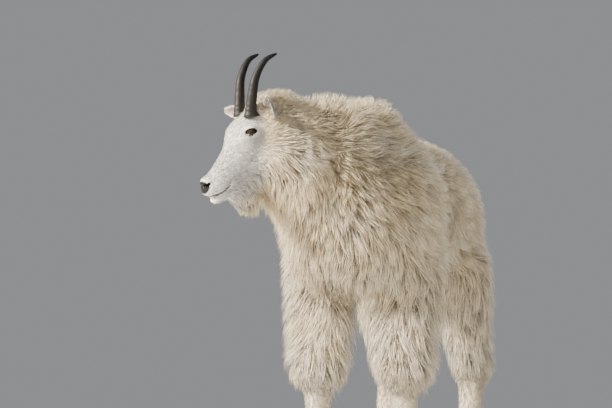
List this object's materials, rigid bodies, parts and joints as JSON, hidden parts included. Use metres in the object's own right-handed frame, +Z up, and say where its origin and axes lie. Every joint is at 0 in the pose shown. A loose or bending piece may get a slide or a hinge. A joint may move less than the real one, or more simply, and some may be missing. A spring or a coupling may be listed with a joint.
{
  "type": "mountain goat",
  "caption": "Life-size standing mountain goat with its head turned to its right: woolly hump, long beard and leg hair, black horns, cloven hooves.",
  "frame": {"origin": "on the floor, under the centre of the whole goat's bounding box", "axes": "+Z up, -Y the way the goat's body faces, +X towards the goat's own left side"},
  "size_m": [0.4986, 1.1686, 1.0787],
  "materials": {
    "coat": "long, dense cream-white fur",
    "horn": "satin horn with growth rings",
    "hoof": "worn dark hoof horn",
    "eye": "wet gloss, dark amber-brown"
  },
  "bodies": {
    "root": {"ear_left": "coat", "ear_right": "coat", "eye_left": "eye", "eye_right": "eye", "head": "coat", "hoof_front_left_inner": "hoof", "hoof_front_left_outer": "hoof", "hoof_front_right_inner": "hoof", "hoof_front_right_outer": "hoof", "hoof_hind_left_inner": "hoof", "hoof_hind_left_outer": "hoof", "hoof_hind_right_inner": "hoof", "hoof_hind_right_outer": "hoof", "horn_left": "horn", "horn_right": "horn", "leg_front_left": "coat", "leg_front_right": "coat", "leg_hind_left": "coat", "leg_hind_right": "coat", "neck": "coat", "tail": "coat", "torso": "coat"}
  },
  "joints": []
}
